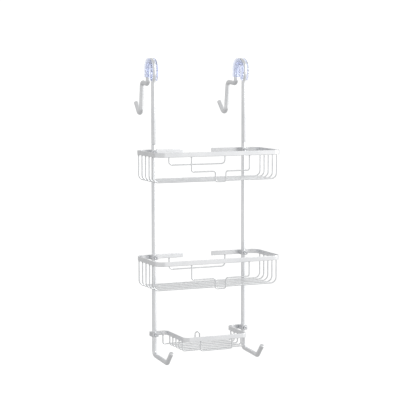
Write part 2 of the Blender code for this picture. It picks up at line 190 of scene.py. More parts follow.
class StageSizes(PropertyGroup):
    yaw: angle("Camera yaw", "How far the camera stands to the left of the front", 23.9)
    pitch: angle("Camera pitch", "How far the camera looks down", 5.85)
    distance: length("Camera distance", "From the camera to its target", 3.2754)
    target: FloatVectorProperty(
        name="Camera target", description="Point that the camera looks at",
        default=(0.0216, -0.016, -0.3242), subtype="TRANSLATION", unit="LENGTH",
    )
    lens: FloatProperty(name="Lens", description="Focal length in millimetres", default=125.5)
    floor_drop: length("Floor drop", "Door's top edge down to the floor", 2.0)
    floor_reach: length("Floor reach", "Half the floor's width", 60.0)


# ---- lines and outlines -----------------------------------
def unit(vector):
    return vector / np.linalg.norm(vector, axis=-1, keepdims=True)


def half_angle(before, corner, after):
    """Unit vectors from a corner to its neighbours, and half the angle between them."""
    back, ahead = unit(before - corner), unit(after - corner)
    return back, ahead, np.arccos(np.clip(back @ ahead, -1, 1)) / 2


def corner_arc(before, corner, after, radius, count):
    """That many points on the arc that rounds a corner.

    With h half the angle at the corner, the arc's centre lies radius / sin h along the
    bisector and its ends radius / tan h along the two arms. A point at part k of the turn t
    is the centre plus both end arms, weighted by sin((1 - k) t) / sin t and sin(k t) / sin t.
    """
    back, ahead, half = half_angle(before, corner, after)
    reach = radius / np.tan(half)
    centre = corner + unit(back + ahead) * radius / np.sin(half)
    start, end = corner + back * reach - centre, corner + ahead * reach - centre
    turn = np.pi - 2 * half
    part = np.linspace(0, 1, count)[:, None]
    from_start, from_end = np.sin((1 - part) * turn), np.sin(part * turn)
    return centre + (start * from_start + end * from_end) / np.sin(turn)


def bent_line(corners, radii, step):
    """Line through the corners, with each inner corner made an arc of its radius."""
    corners = np.array(corners, float)
    parts = [corners[:1]]
    for before, corner, after, radius in zip(corners, corners[1:], corners[2:], radii):
        turn = np.pi - 2 * half_angle(before, corner, after)[2]
        count = max(3, round(turn / step) + 1)
        parts.append(corner_arc(before, corner, after, radius, count))
    parts.append(corners[-1:])
    line = np.vstack(parts)
    moved = np.linalg.norm(np.diff(line, axis=0), axis=1) > 1e-6
    return line[np.r_[True, moved]]


def with_stops(line, stops):
    """The line with more points near both ends, at the stops' distances from them."""
    stops = np.array(sorted({0.0, *stops}))[:, None]
    first = line[0] + unit(line[1] - line[0]) * stops
    last = line[-1] + unit(line[-2] - line[-1]) * stops[::-1]
    return np.vstack([first, line[1:-1], last])


def round_outline(radius, sides):
    """Circle: radius times the cosine and sine of evenly spaced angles."""
    turn = np.arange(sides) * 2 * np.pi / sides
    return radius * np.stack([np.cos(turn), np.sin(turn)], -1)


def eased_outline(corners, radius, support, steps=4):
    """Polygon with each corner made an arc, and a point on each flat just beside the arc.

    The points beside the arcs keep the flats flat under smooth shading.
    """
    corners = np.array(corners, float)
    parts = []
    for before, corner, after in zip(np.roll(corners, 1, 0), corners, np.roll(corners, -1, 0)):
        back, ahead, half = half_angle(before, corner, after)
        beside = radius / np.tan(half) + support
        parts.append((corner + back * beside)[None])
        parts.append(corner_arc(before, corner, after, radius, steps + 1))
        parts.append((corner + ahead * beside)[None])
    return np.vstack(parts)


def outline_normals(outline):
    """Outward unit normals: each point's chord between its neighbours, turned a quarter."""
    chord = np.roll(outline, -1, 0) - np.roll(outline, 1, 0)
    turned = unit(np.stack([chord[:, 1], -chord[:, 0]], -1))
    following = np.roll(outline, -1, 0)
    area = np.sum(outline[:, 0] * following[:, 1] - outline[:, 1] * following[:, 0])
    return turned * np.sign(area)


def carried(line, across, outline, end_round, stops=(), swell=None):
    """Surface of an outline carried along a line that lies in one plane.

    A ring's points are the line's point plus the outline's first coordinate times the
    tangent x plane normal, plus its second times the plane normal. Within the rounding's
    distance d of an end the outline is drawn in by e - sqrt(e^2 - (e - d)^2). swell gives, for
    distances to the nearer end, what both coordinates are multiplied by.
    """
    fan = np.linspace(0, np.pi / 2, 5)
    line = with_stops(line, [*(end_round * (1 - np.cos(fan))), *stops])
    tangent = np.empty_like(line)
    tangent[1:-1] = line[2:] - line[:-2]
    tangent[0], tangent[-1] = line[1] - line[0], line[-1] - line[-2]
    sideways = np.cross(unit(tangent), across)
    along = np.r_[0, np.cumsum(np.linalg.norm(np.diff(line, axis=0), axis=1))]
    near = np.minimum(along, along[-1] - along)
    inside = np.clip(end_round - near, 0, None)
    drawn_in = end_round - np.sqrt(np.clip(end_round**2 - inside**2, 0, None))
    rings = outline[None] - drawn_in[:, None, None] * outline_normals(outline)[None]
    if swell is not None:
        rings = rings * swell(near)[:, None]
    grid = line[:, None] + sideways[:, None] * rings[..., :1] + across * rings[..., 1:]
    return grid, along, near


# ---- meshes -----------------------------------------------
def add_piece(name, vertices, faces, marks=None, uvs=None):
    """Mesh object at the origin. Faces turn outwards: the signed volume is made positive."""
    volume = 0.0
    for face in faces:
        a, b, c = (vertices[face[:, [0] * (face.shape[1] - 2)]], vertices[face[:, 1:-1]],
                   vertices[face[:, 2:]])
        volume += np.sum(a * np.cross(b, c))
    turn = slice(None) if volume > 0 else slice(None, None, -1)
    mesh = bpy.data.meshes.new(name)
    listed = [row for face in faces for row in face[:, turn].tolist()]
    mesh.from_pydata(vertices.tolist(), [], listed)
    if uvs is not None:
        layer = mesh.uv_layers.new(name="UVMap")
        flat = np.concatenate([uv[:, turn].reshape(-1, 2) for uv in uvs])
        layer.data.foreach_set("uv", flat.ravel().astype(np.float32))
    for mark, values in (marks or {}).items():
        attribute = mesh.attributes.new(mark, "FLOAT", "POINT")
        attribute.data.foreach_set("value", np.asarray(values, np.float32).ravel())
    mesh.shade_smooth()
    mesh.update()
    piece = bpy.data.objects.new(name, mesh)
    bpy.context.scene.collection.objects.link(piece)
    return piece


def quads_between(rings, count, wrapped=False):
    """Quads from each ring to the next, and from the last to the first if wrapped."""
    steps = np.arange(rings if wrapped else rings - 1)
    ring, spot = np.meshgrid(steps, np.arange(count), indexing="ij")
    beside = (spot + 1) % count
    here, above = ring * count, (ring + 1) % rings * count
    quads = np.stack([here + spot, here + beside, above + beside, above + spot], -1)
    return quads.reshape(-1, 4), ring, spot


def add_carried(name, grid, along, outline, marks=None):
    """Closed mesh of a carried outline, with flat ends, and UVs in metres round and along."""
    rings, count = grid.shape[:2]
    quads, ring, spot = quads_between(rings, count)
    ends = np.stack([np.arange(count)[::-1], (rings - 1) * count + np.arange(count)])
    steps = np.linalg.norm(np.roll(outline, -1, 0) - outline, axis=1)
    around = np.r_[0, np.cumsum(steps)]
    low, high = along[ring], along[ring + 1]
    left, right = around[spot], around[spot + 1]
    wall = np.stack([np.stack([left, low], -1), np.stack([right, low], -1),
                     np.stack([right, high], -1), np.stack([left, high], -1)], -2)
    caps = np.stack([outline[::-1], outline])
    return add_piece(name, grid.reshape(-1, 3), [quads, ends], marks,
                     [wall.reshape(-1, 4, 2), caps])


def add_wrapped(name, grid):
    """Closed mesh of a grid that joins up in both directions, as a ring does."""
    quads, _, _ = quads_between(*grid.shape[:2], wrapped=True)
    return add_piece(name, grid.reshape(-1, 3), [quads])


def add_turned(name, grid):
    """Closed mesh of rings round an axis, with a pole in the middle of both ends."""
    rings, count = grid.shape[:2]
    poles = np.stack([grid[0].mean(0), grid[-1].mean(0)])
    quads, _, _ = quads_between(rings, count)
    spot = np.arange(count)
    beside = (spot + 1) % count
    last = (rings - 1) * count
    first_fan = np.stack([np.full(count, rings * count), beside, spot], -1)
    last_fan = np.stack([np.full(count, rings * count + 1), last + spot, last + beside], -1)
    vertices = np.vstack([grid.reshape(-1, 3), poles])
    return add_piece(name, vertices, [quads, first_fan, last_fan])


def settle(piece, node, body, material):
    """Give a piece its finish and its body, and hide the CAD node that it stands for."""
    piece.data.materials.append(material)
    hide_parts(node)
    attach(piece, body)


# ---- finishes ---------------------------------------------
BRUSH_STRETCH = (5200.0, 90.0, 1.0)  # how close the lines lie round a piece and along it
SATIN_CLOUDS, SATIN_GRAIN = 26.0, 1900.0  # noise scales of the drawn aluminium
CAST_CLOUDS, CAST_GRAIN = 90.0, 2600.0  # noise scales of the blocks and the screws
WELD_DULLING = 0.16  # roughness that a weld adds
METAL_BUMP = 0.00006
ROUGHNESS = {
    "satin_rod_aluminium": (0.27, 0.37),
    "satin_bar_aluminium": (0.25, 0.35),
    "satin_wire_aluminium_painted_shade": (0.30, 0.40),
    "cast_block_aluminium_painted_shade": (0.30, 0.42),
    "screw_steel": (0.18, 0.28),
}
GUARD_WAVES = 160.0  # noise scale of the moulding's faint waves
GUARD_TRANSMISSION = 0.9
GUARD_COAT_ROUGHNESS = 0.12
GUARD_IOR = 1.12  # low, so that the rod inside stays easy to see
GUARD_ABSORPTION = 26.0


class Finish:
    """A node material in the making: short calls that add a node and join it up."""

    def __init__(self, name):
        self.material = bpy.data.materials.new(name)
        self.material.use_nodes = True
        self.tree = self.material.node_tree
        self.shader = self.tree.nodes["Principled BSDF"]
        self.output = self.tree.nodes["Material Output"]
        self.column = -300

    def node(self, kind, **settings):
        made = self.tree.nodes.new(kind)
        made.location = (self.column, 0)
        self.column -= 180
        for key, value in settings.items():
            setattr(made, key, value)
        return made

    def join(self, source, target):
        self.tree.links.new(source, target)

    def fixed(self, socket, value):
        """A value that is the same all over, set on the shader's own socket."""
        self.shader.inputs[socket].default_value = value

    def noise(self, place, scale, detail=2.0, stretch=None):
        """Noise on a coordinate, after the coordinate is stretched."""
        if stretch:
            mapping = self.node("ShaderNodeMapping")
            mapping.inputs["Scale"].default_value = stretch
            self.join(place, mapping.inputs["Vector"])
            place = mapping.outputs["Vector"]
        noise = self.node("ShaderNodeTexNoise")
        noise.inputs["Scale"].default_value = scale
        noise.inputs["Detail"].default_value = detail
        self.join(place, noise.inputs["Vector"])
        return noise.outputs["Fac"]

    def ranged(self, value, low, high, start=0.3, stop=0.7):
        """The value's stretch from start to stop, spread from low to high."""
        spread = self.node("ShaderNodeMapRange")
        for key, setting in (("From Min", start), ("From Max", stop), ("To Min", low), ("To Max", high)):
            spread.inputs[key].default_value = setting
        self.join(value, spread.inputs["Value"])
        return spread.outputs["Result"]

    def mixed(self, amount, first, second):
        """Colour between two, by the amount."""
        mix = self.node("ShaderNodeMix", data_type="RGBA")
        self.join(amount, mix.inputs["Factor"])
        for socket, source in ((mix.inputs[6], first), (mix.inputs[7], second)):
            if isinstance(source, bpy.types.NodeSocket):
                self.join(source, socket)
            else:
                socket.default_value = (*source, 1.0)
        return mix.outputs[2]

    def summed(self, first, second, operation="ADD"):
        sum_of = self.node("ShaderNodeMath", operation=operation)
        for socket, source in zip(sum_of.inputs, (first, second)):
            if isinstance(source, bpy.types.NodeSocket):
                self.join(source, socket)
            else:
                socket.default_value = source
        return sum_of.outputs[0]

    def bumped(self, height, strength, distance):
        bump = self.node("ShaderNodeBump")
        bump.inputs["Strength"].default_value = strength
        bump.inputs["Distance"].default_value = distance
        self.join(height, bump.inputs["Height"])
        self.join(bump.outputs["Normal"], self.shader.inputs["Normal"])


def brushed_metal(name, bright, dull, weld):
    """Satin metal: fine lines along the piece, a soft cloudiness, and duller grainy welds.

    The lines are noise that is stretched along the UV map's second direction. The weld mark
    runs from 0 on the clean metal to 1 at a weld.
    """
    finish = Finish(name)
    place = finish.node("ShaderNodeTexCoord")
    mark = finish.node("ShaderNodeAttribute", attribute_name="weld").outputs["Fac"]
    lines = finish.noise(place.outputs["UV"], 1.0, 2.0, BRUSH_STRETCH)
    cloud = finish.noise(place.outputs["Object"], SATIN_CLOUDS, 3.0)
    grain = finish.noise(place.outputs["Object"], SATIN_GRAIN, 1.0)
    metal = finish.mixed(finish.ranged(cloud, 0.0, 1.0), bright, dull)
    finish.join(finish.mixed(mark, metal, weld), finish.shader.inputs["Base Color"])
    satin = finish.summed(finish.ranged(lines, *ROUGHNESS[name]), finish.ranged(cloud, -0.02, 0.02))
    dulled = finish.summed(mark, WELD_DULLING, "MULTIPLY")
    finish.join(finish.summed(satin, dulled), finish.shader.inputs["Roughness"])
    finish.fixed("Metallic", 1.0)
    height = finish.summed(finish.summed(lines, 0.5, "MULTIPLY"), finish.summed(grain, 0.5, "MULTIPLY"))
    finish.bumped(height, 0.22, METAL_BUMP)
    return finish.material


def grained_metal(name, bright, dull):
    """Cast or turned metal: cloudiness and a fine grain in all directions."""
    finish = Finish(name)
    place = finish.node("ShaderNodeTexCoord").outputs["Object"]
    cloud = finish.noise(place, CAST_CLOUDS, 3.0)
    grain = finish.noise(place, CAST_GRAIN, 2.0)
    finish.join(finish.mixed(finish.ranged(cloud, 0.0, 1.0), bright, dull),
                finish.shader.inputs["Base Color"])
    finish.join(finish.ranged(grain, *ROUGHNESS[name]), finish.shader.inputs["Roughness"])
    finish.fixed("Metallic", 1.0)
    finish.bumped(grain, 0.25, METAL_BUMP)
    return finish.material


def clear_guard(tint, body):
    """Clear moulded plastic: it takes more blue the longer the way through it."""
    finish = Finish("clear_guard_plastic")
    place = finish.node("ShaderNodeTexCoord").outputs["Object"]
    flow = finish.noise(place, GUARD_WAVES, 2.0)
    finish.join(finish.mixed(finish.ranged(flow, 0.0, 1.0), tint, tuple(0.97 * c for c in tint)),
                finish.shader.inputs["Base Color"])
    finish.join(finish.ranged(flow, 0.02, 0.06), finish.shader.inputs["Roughness"])
    finish.fixed("Transmission Weight", GUARD_TRANSMISSION)
    finish.fixed("Coat Weight", 1.0)
    finish.fixed("Coat Roughness", GUARD_COAT_ROUGHNESS)
    finish.fixed("IOR", GUARD_IOR)
    finish.bumped(flow, 0.10, 0.0001)
    absorb = finish.node("ShaderNodeVolumeAbsorption")
    absorb.inputs["Color"].default_value = (*body, 1.0)
    absorb.inputs["Density"].default_value = GUARD_ABSORPTION
    finish.join(absorb.outputs["Volume"], finish.output.inputs["Volume"])
    return finish.material


def finish_named(name):
    """The finish of that name, made the first time that a piece asks for it."""
    made = bpy.data.materials.get(name)
    if made:
        return made
    tones = bpy.context.scene.caddy_finish
    if name in ("satin_rod_aluminium", "satin_bar_aluminium"):
        return brushed_metal(name, tuple(tones.aluminium), tuple(tones.aluminium_dull),
                             tuple(tones.weld))
    # The wires' finish takes the wire tones, which are darkened as painted shade.
    if name == "satin_wire_aluminium_painted_shade":
        return brushed_metal(name, tuple(tones.wire), tuple(tones.wire_dull), tuple(tones.weld))
    # The blocks' finish takes the block tones, which are darkened partly as painted shade.
    if name == "cast_block_aluminium_painted_shade":
        return grained_metal(name, tuple(tones.block), tuple(tones.block_dull))
    if name == "screw_steel":
        return grained_metal(name, tuple(tones.steel), tuple(tones.steel_dull))
    return clear_guard(tuple(tones.guard), tuple(tones.guard_body))


# ---- rods -------------------------------------------------
def upright(side):
    """Centre of an upright and the heights of its seam and of its hook's crown."""
    low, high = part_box(f"{side}_lower_rod")
    radius = bpy.context.scene.caddy_rod.diameter / 2
    hook_low, hook_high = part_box(f"{side}_hook_rod")
    place = np.array([(low.x + high.x) / 2, high.y - radius])
    return place, (high.z, hook_low.z), hook_high.z - radius


def turned_in(points, place, turn):
    """Points turned about the upright line through a place: the usual plane rotation."""
    flat = points[..., :2] - place
    x = flat[..., 0] * cos(turn) - flat[..., 1] * sin(turn)
    y = flat[..., 0] * sin(turn) + flat[..., 1] * cos(turn)
    return np.stack([x + place[0], y + place[1], points[..., 2]], -1)


def toe_in(side):
    sizes = bpy.context.scene.caddy_hook
    return SIDES[side] * (sizes.toe_left if side == "left" else sizes.toe_right)


def hook_corners(side):
    """Corners of the hook rod: seam, jog, crown, dip, hump, tail and tip."""
    sizes = bpy.context.scene.caddy_hook
    (x, y), (_, start), crown = upright(side)
    front = y - sizes.jog
    back = front + sizes.span
    shank_top, shank_bottom = back + sizes.hump_offset, back + sizes.tail_offset
    return [
        (x, y, start),
        (x, y, crown - sizes.jog_bottom),
        (x, front, crown - sizes.jog_top),
        (x, front, crown),
        (x, back, crown),
        (x, back, crown - sizes.dip_drop),
        (x, shank_top, crown - sizes.hump_drop),
        (x, shank_bottom, crown - sizes.tail_drop),
        (x, shank_bottom + sizes.tail_reach, crown - sizes.tip_drop),
    ]


class CADDY_OT_hook_rods(Operator):
    """Build the two hook rods: a round outline carried from the seam over the door to the tip"""

    bl_idname = "caddy.hook_rods"
    bl_label = "Hook Rods"
    bl_options = {"REGISTER", "UNDO"}

    def execute(self, context):
        rod, hook = context.scene.caddy_rod, context.scene.caddy_hook
        outline = round_outline(rod.diameter / 2, rod.sides)
        crown = hook.span / 2
        radii = [hook.jog_radius] * 2 + [crown] * 2 + [hook.bend_radius] * 2 + [hook.tail_radius]
        for side in SIDES:
            line = bent_line(hook_corners(side), radii, rod.bend_step)
            grid, along, _ = carried(line, ACROSS_X, outline, rod.end_round)
            grid = turned_in(grid, upright(side)[0], toe_in(side))
            piece = add_carried(f"{side}_hook_rod_finish", grid, along, outline)
            settle(piece, f"{side}_hook_rod", f"{side}_hook",
                   finish_named("satin_rod_aluminium"))
        return {"FINISHED"}


class CADDY_OT_lower_rods(Operator):
    """Build the two lower rods: a round outline carried from the seam down to the foot's tip"""

    bl_idname = "caddy.lower_rods"
    bl_label = "Lower Rods"
    bl_options = {"REGISTER", "UNDO"}

    def execute(self, context):
        rod = context.scene.caddy_rod
        outline = round_outline(rod.diameter / 2, rod.sides)
        for side in SIDES:
            (x, y), (start, _), _ = upright(side)
            foot = start - rod.foot_drop
            corners = [
                (x, y, start),
                (x, y, foot),
                (x, y - rod.foot_length, foot - rod.foot_fall),
                (x, y - rod.foot_length - rod.tip_reach, foot - rod.foot_fall + rod.tip_rise),
            ]
            line = bent_line(corners, [rod.foot_radius, rod.tip_radius], rod.bend_step)
            grid, along, _ = carried(line, ACROSS_X, outline, rod.end_round)
            piece = add_carried(f"{side}_lower_rod_finish", grid, along, outline)
            settle(piece, f"{side}_lower_rod", "uprights",
                   finish_named("satin_rod_aluminium"))
            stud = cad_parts[f"{side}_joint_stud"]
            stud.data.materials[0] = finish_named("screw_steel")
        return {"FINISHED"}


class CADDY_OT_guards(Operator):
    """Build the clear guards: a channel outline carried round the inside of each hook"""

    bl_idname = "caddy.guards"
    bl_label = "Guards"
    bl_options = {"REGISTER", "UNDO"}

    def execute(self, context):
        rod, hook, guard = (context.scene.caddy_rod, context.scene.caddy_hook,
                            context.scene.caddy_guard)
        radius = rod.diameter / 2
        inner, rim = radius + guard.gap, -radius
        outer, base = inner + guard.flange, inner + guard.web
        corners = [(base, -outer), (base, outer), (rim, outer), (rim, inner),
                   (inner, inner), (inner, -inner), (rim, -inner), (rim, -outer)]
        outline = eased_outline(corners, guard.edge, guard.edge / 2)
        for side in SIDES:
            (x, y), _, crown = upright(side)
            front, back = y - hook.jog, y - hook.jog + hook.span
            slope = hook.jog / (hook.jog_bottom - hook.jog_top)
            path = [
                (x, y - slope * (hook.jog_bottom - guard.front_drop), crown - guard.front_drop),
                (x, front, crown - hook.jog_top),
                (x, front, crown),
                (x, back, crown),
                (x, back, crown - guard.back_drop),
            ]
            line = bent_line(path, [hook.jog_radius, hook.span / 2, hook.span / 2], rod.bend_step)
            grid, along, _ = carried(line, ACROSS_X, outline, guard.edge)
            grid = turned_in(grid, upright(side)[0], toe_in(side))
            piece = add_carried(f"{side}_door_guard_finish", grid, along, outline)
            settle(piece, f"{side}_door_guard", f"{side}_hook",
                   finish_named("clear_guard_plastic"))
        return {"FINISHED"}


# ---- rims -------------------------------------------------
def bar_outline():
    """Flat bar on edge: thin sideways, tall along Z, with eased edges."""
    bar = bpy.context.scene.caddy_bar
    thin, tall = bar.thickness / 2, (BAR_BOX[1].z - BAR_BOX[0].z) / 2
    corners = [(thin, -tall), (thin, tall), (-thin, tall), (-thin, -tall)]
    return eased_outline(corners, bar.edge, bar.edge * 0.6)


class CADDY_OT_rims(Operator):
    """Build the three rims: the flat bar's outline carried round each shelf"""

    bl_idname = "caddy.rims"
    bl_label = "Rims"
    bl_options = {"REGISTER", "UNDO"}

    def execute(self, context):
        bar, rod = context.scene.caddy_bar, context.scene.caddy_rod
        outline = bar_outline()
        thin = bar.thickness / 2
        for shelf, body in SHELF_BODIES.items():
            low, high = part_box(f"{shelf}_rim")
            middle = (low.z + high.z) / 2
            front, back = low.y + thin, high.y - thin
            if shelf == "dish":
                side, end, bend = bar.dish_width / 2 - thin, high.x, bar.dish_corner
            else:
                side, end, bend = high.x - thin, bar.rear_gap / 2, bar.basket_corner - thin
            half = [(end, back), (side, back), (side, front)]
            corners = [(-x, y, middle) for x, y in half] + [(x, y, middle) for x, y in half[::-1]]
            line = bent_line(corners, [bend] * 4, rod.bend_step)
            grid, along, _ = carried(line, ACROSS_Z, outline, bar.end_round)
            piece = add_carried(f"{shelf}_rim_finish", grid, along, outline)
            settle(piece, f"{shelf}_rim", body,
                   finish_named("satin_bar_aluminium"))
        return {"FINISHED"}


# ---- wires ------------------------------------------------
LONG_WIRES = 5  # in each shelf
WIRE_END_ROUND = 1e-5
WELD_MARK_REACH = 1.6  # how far a weld's dull tone runs, in bead lengths
BEAD_RINGS = np.array([0.3, 0.6, 0.9, 1.2, 1.5, 1.9, 2.4, 3.0, 4.0, 6.0])  # also in bead lengths


def add_wire(node, body, corners, radii, bead_across):
    """A wire whose ends swell into welds: the size there is 1 + bead * exp(-(d / length)^2).

    The weld swells along the bar only: across the wire's plane under a side bar, and within
    that plane under a front or rear bar.
    """
    wire, rod = bpy.context.scene.caddy_wire, bpy.context.scene.caddy_rod
    outline = round_outline(wire.diameter / 2, wire.sides)
    line = bent_line(corners, radii, rod.bend_step * 2)

    def swell(near):
        grown = 1 + wire.bead * np.exp(-((near / wire.bead_length) ** 2))
        still = np.ones_like(near)
        return np.stack([still, grown] if bead_across else [grown, still], -1)

    stops = wire.bead_length * BEAD_RINGS
    grid, along, near = carried(line, ACROSS_Y, outline, WIRE_END_ROUND, stops, swell)
    weld = np.exp(-((near / (wire.bead_length * WELD_MARK_REACH)) ** 2))
    marks = {"weld": np.repeat(weld, wire.sides)}
    piece = add_carried(f"{node}_finish", grid, along, outline, marks)
    settle(piece, node, body, finish_named("satin_wire_aluminium_painted_shade"))


def hung_corners(node):
    """Corners of a wire that drops from both ends and runs level between them."""
    wire = bpy.context.scene.caddy_wire
    low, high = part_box(node)
    radius = wire.diameter / 2
    left, right, y = low.x + radius, high.x - radius, (low.y + high.y) / 2
    top, bottom = high.z + wire.bite, low.z + radius
    return [(left, y, top), (left, y, bottom), (right, y, bottom), (right, y, top)]


class CADDY_OT_long_wires(Operator):
    """Build the long wires of the three shelves: round wires hung from the rims' sides"""

    bl_idname = "caddy.long_wires"
    bl_label = "Long Wires"
    bl_options = {"REGISTER", "UNDO"}

    def execute(self, context):
        wire = context.scene.caddy_wire
        for shelf, body in SHELF_BODIES.items():
            radius = wire.dish_radius if shelf == "dish" else wire.basket_radius
            for number in range(1, LONG_WIRES + 1):
                node = f"{shelf}_long_wire_{number}"
                add_wire(node, body, hung_corners(node), [radius] * 2, True)
        return {"FINISHED"}


class CADDY_OT_front_and_rear_wires(Operator):
    """Build the stepped front wires, the plain front and rear wires and the dish's loop"""

    bl_idname = "caddy.front_and_rear_wires"
    bl_label = "Front and Rear Wires"
    bl_options = {"REGISTER", "UNDO"}

    def execute(self, context):
        wire = context.scene.caddy_wire
        for shelf in ("upper", "lower"):
            node = f"{shelf}_front_wire"
            (left, y, top), (_, _, bottom), (right, _, _), _ = hung_corners(node)
            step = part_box(node)[1].z - wire.step_drop
            inner = wire.step_foot / 2
            corners = [(left, y, top), (left, y, step), (-inner, y, step), (-inner, y, bottom),
                       (inner, y, bottom), (inner, y, step), (right, y, step), (right, y, top)]
            add_wire(node, SHELF_BODIES[shelf], corners, [wire.small_radius] * 6, False)
            node = f"{shelf}_rear_wire"
            add_wire(node, SHELF_BODIES[shelf], hung_corners(node), [wire.rear_radius] * 2, False)
        for node in ("dish_front_wire", "dish_rear_wire"):
            add_wire(node, "soap_dish", hung_corners(node), [wire.small_radius] * 2, False)
        low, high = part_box("dish_loop")
        radius = wire.diameter / 2
        left, right, y = low.x + radius, high.x - radius, (low.y + high.y) / 2
        foot, crown = low.z - wire.bite, high.z - radius
        corners = [(left, y, foot), (left, y, crown), (right, y, crown), (right, y, foot)]
        add_wire("dish_loop", "soap_dish", corners, [(right - left) / 2] * 2, False)
        return {"FINISHED"}


# ---- clamps and screws ------------------------------------
BLOCK_RAYS = 48
SCREW_RAYS = 72
FLUTES, FLUTE_DEPTH = 24, 0.00012
SEAT_GAP = 0.00005  # between a screw's head and its block
TURNED_CHAMFER = 0.0003  # at the tip, round the socket and at its bottom
HEAD_UNDERCUT = 0.0004


def rounded_rectangle(half_x, half_y, corner, turns):
    """Points where rays from the middle meet a rounded rectangle.

    A ray meets the plain rectangle at 1 / max(|cos| / half x, |sin| / half y); where that lies
    in a corner's square, the point moves along its ray to the corner's circle.
    """
    ray = np.stack([np.cos(turns), np.sin(turns)], -1)
    half = np.array([half_x, half_y])
    reach = 1 / np.max(np.abs(ray) / half, axis=-1)
    point = ray * reach[:, None]
    middle = half - corner
    in_corner = np.all(np.abs(point) > middle, axis=-1)
    centre = np.sign(ray) * middle
    along = np.sum(ray * centre, -1)
    to_circle = along + np.sqrt(np.clip(along**2 - np.sum(centre**2, -1) + corner**2, 0, None))
    return np.where(in_corner[:, None], ray * to_circle[:, None], point)


def block_grid(node, place):
    """Clamp block: profile rings that run up the bore, over the top and down the outside.

    Bore rings are circles and outside rings rounded rectangles, all met by the same rays.
    """
    sizes, rod = bpy.context.scene.caddy_clamp, bpy.context.scene.caddy_rod
    low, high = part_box(node)
    half = (high - low) / 2
    centre = np.array([(low.x + high.x) / 2, (low.y + high.y) / 2])
    corner_turns = [atan2(sy * (half.y - sizes.corner * k), sx * (half.x - sizes.corner * (1 - k)))
                    for sx in (-1, 1) for sy in (-1, 1) for k in (0, 0.25, 0.5, 0.75, 1)]
    turns = np.array(sorted([*np.linspace(-np.pi, np.pi, BLOCK_RAYS, endpoint=False), *corner_turns]))
    bore = rod.diameter / 2 + sizes.bore_gap
    tall = half.z

    def circle(radius):
        return np.stack([np.cos(turns), np.sin(turns)], -1) * radius + (place - centre)

    def outside(inset):
        return rounded_rectangle(half.x - inset, half.y - inset, sizes.corner, turns)

    fan = np.linspace(0, np.pi / 2, 5)
    upper = [(circle(bore), tall - sizes.bore_edge), (circle(bore + sizes.bore_edge), tall),
             (circle(bore + 2 * sizes.bore_edge), tall), (outside(1.5 * sizes.edge), tall)]
    upper += [(outside(sizes.edge * (1 - sin(t))), tall - sizes.edge * (1 - cos(t))) for t in fan]
    upper.append((outside(0), tall - 1.6 * sizes.edge))
    rings = upper + [(ring, -height) for ring, height in upper[::-1]]
    middle = (low.z + high.z) / 2
    flat = np.stack([ring + centre for ring, _ in rings])
    heights = np.array([height for _, height in rings])[:, None, None] + middle
    return np.concatenate([flat, np.broadcast_to(heights, (*flat.shape[:2], 1))], -1)


def screw_grid(node):
    """Socket-head screw turned round its axis along Y.

    Each ring's radius is the profile's, less a shallow cosine flute on the head's side. In the
    socket it is a hexagon's: half the width / cos of the angle to the nearest flat's middle.
    """
    sizes = bpy.context.scene.caddy_clamp
    low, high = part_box(node)
    head = (high.x - low.x) / 2
    x, z = (low.x + high.x) / 2, (low.z + high.z) / 2
    face, tip = low.y, high.y
    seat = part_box(node.replace("_screw", "_block"))[0].y - SEAT_GAP
    edge, shank = sizes.head_edge, sizes.shank / 2
    turns = np.arange(SCREW_RAYS) * 2 * np.pi / SCREW_RAYS
    to_flat = (turns + np.pi / 6) % (np.pi / 3) - np.pi / 6
    hexagon = sizes.socket / 2 / np.cos(to_flat)
    flutes = FLUTE_DEPTH * (0.5 - 0.5 * np.cos(FLUTES * turns))
    plain = np.ones_like(turns)
    fan = np.linspace(0, np.pi / 2, 5)
    rings = [(tip, plain * (shank - TURNED_CHAMFER)), (tip - TURNED_CHAMFER, plain * shank)]
    rings += [(seat, plain * shank), (seat, plain * (head - HEAD_UNDERCUT))]
    rings += [(seat - 0.0002, plain * (head - 0.0001) - flutes)]
    rings += [(face + edge + 0.0002, plain * head - flutes)]
    rings += [(face + edge * (1 - sin(t)), plain * (head - edge * (1 - cos(t))) - flutes * cos(t))
              for t in fan]
    floor = face + sizes.socket_depth
    rings += [(face, hexagon + TURNED_CHAMFER), (face + 0.0002, hexagon)]
    rings += [(floor, hexagon), (floor + TURNED_CHAMFER, 0.2 * hexagon)]
    places = np.array([place for place, _ in rings])[:, None]
    radii = np.stack([radius for _, radius in rings])
    return np.stack([x + radii * np.cos(turns), np.broadcast_to(places, radii.shape),
                     z + radii * np.sin(turns)], -1)


class CADDY_OT_clamps(Operator):
    """Build the six clamp blocks with their bores, and their socket-head screws"""

    bl_idname = "caddy.clamps"
    bl_label = "Clamps"
    bl_options = {"REGISTER", "UNDO"}

    def execute(self, context):
        for shelf, body in SHELF_BODIES.items():
            for side in SIDES:
                node = f"{shelf}_{side}_clamp_block"
                block = add_wrapped(f"{node}_finish", block_grid(node, upright(side)[0]))
                settle(block, node, body, finish_named("cast_block_aluminium_painted_shade"))
                node = f"{shelf}_{side}_clamp_screw"
                screw = add_turned(f"{node}_finish", screw_grid(node))
                screw.data.set_sharp_from_angle(angle=radians(40))
                settle(screw, node, f"{shelf}_{side}_screw",
                       finish_named("screw_steel"))
        return {"FINISHED"}


# ---- stage ------------------------------------------------
FLOOR_CELLS = 4  # along each side of the floor
FLOOR_GLOW = 0.35
WHITE_SEEN = 1.1  # brightness of the plain white that the camera sees
SOFTBOX_PLACE, SOFTBOX_AIM = (2.4, -1.6, 0.8), (0, 0, -0.35)
SOFTBOX_SIZE, SOFTBOX_POWER = (1.6, 2.2), 40
ROOM_GREY = 0.79  # brightness of the surroundings where no part below covers them
# Each part's middle, the cosines where it starts and is full, and its brightness.
ROOM_PARTS = (
    ((0.996, -0.087, 0.0), 0.10, 0.60, 1.05),
    ((-0.405, 0.914, 0.0), 0.62, 0.95, 0.61),
    ((0.0, 0.0, 1.0), 0.45, 0.90, 0.70),
    ((0.0, 0.0, -1.0), 0.10, 0.70, 0.55),
)


